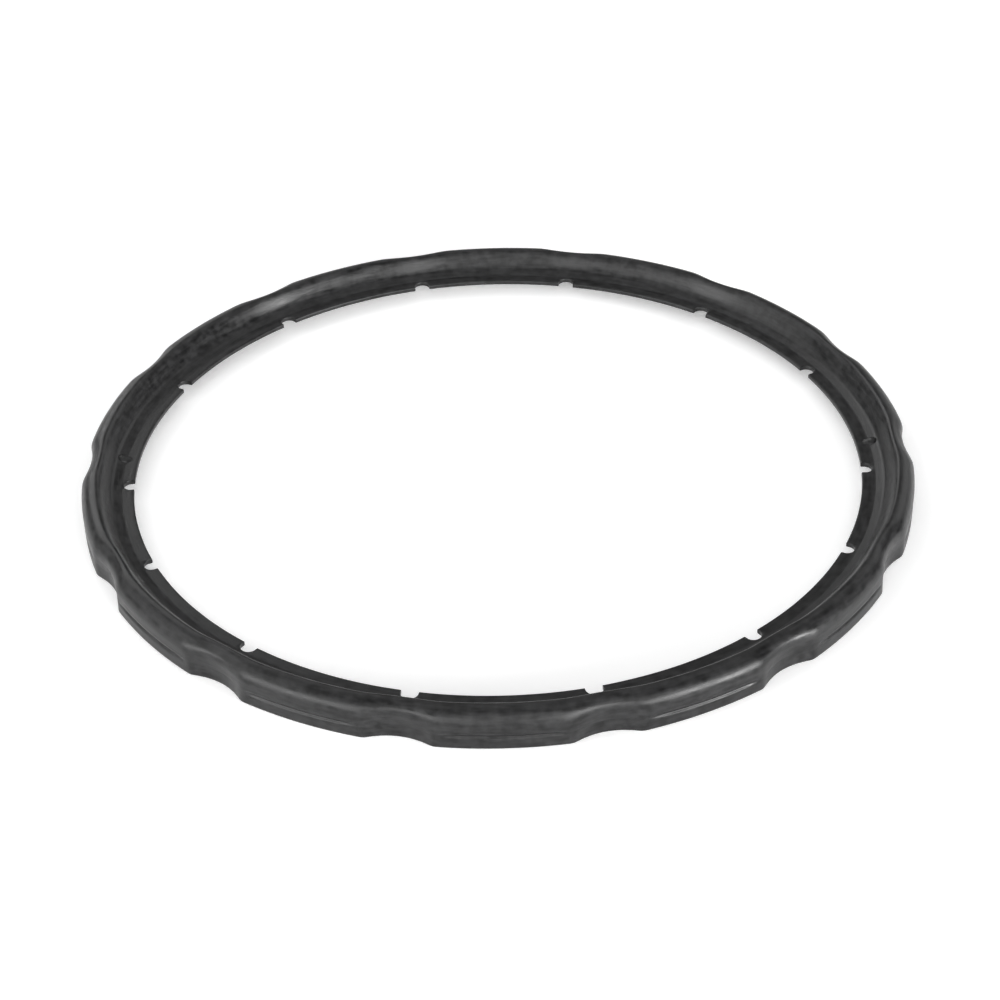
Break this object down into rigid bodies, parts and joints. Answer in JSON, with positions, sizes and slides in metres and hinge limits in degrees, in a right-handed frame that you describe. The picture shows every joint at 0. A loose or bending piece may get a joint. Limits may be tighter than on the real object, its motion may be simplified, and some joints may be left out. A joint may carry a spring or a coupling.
{
  "type": "pressure cooker lid sealing ring",
  "caption": "Round black rubber sealing ring for a stovetop pressure cooker's lid, with a lobed outer wall, a rounded crown and a notched inner lip.",
  "frame": {"origin": "on the ring's axis, in the plane of the foot that it rests on", "axes": "+Z is the ring's axis, from the foot to the crest; +X and -X point at the two recesses whose notch is set off; -Y is the front, towards which those notches are set off"},
  "size_m": [0.2524, 0.253, 0.012],
  "materials": {
    "rubber": "satin moulded black rubber"
  },
  "bodies": {
    "root": {"sealing_ring": "rubber"}
  },
  "joints": []
}
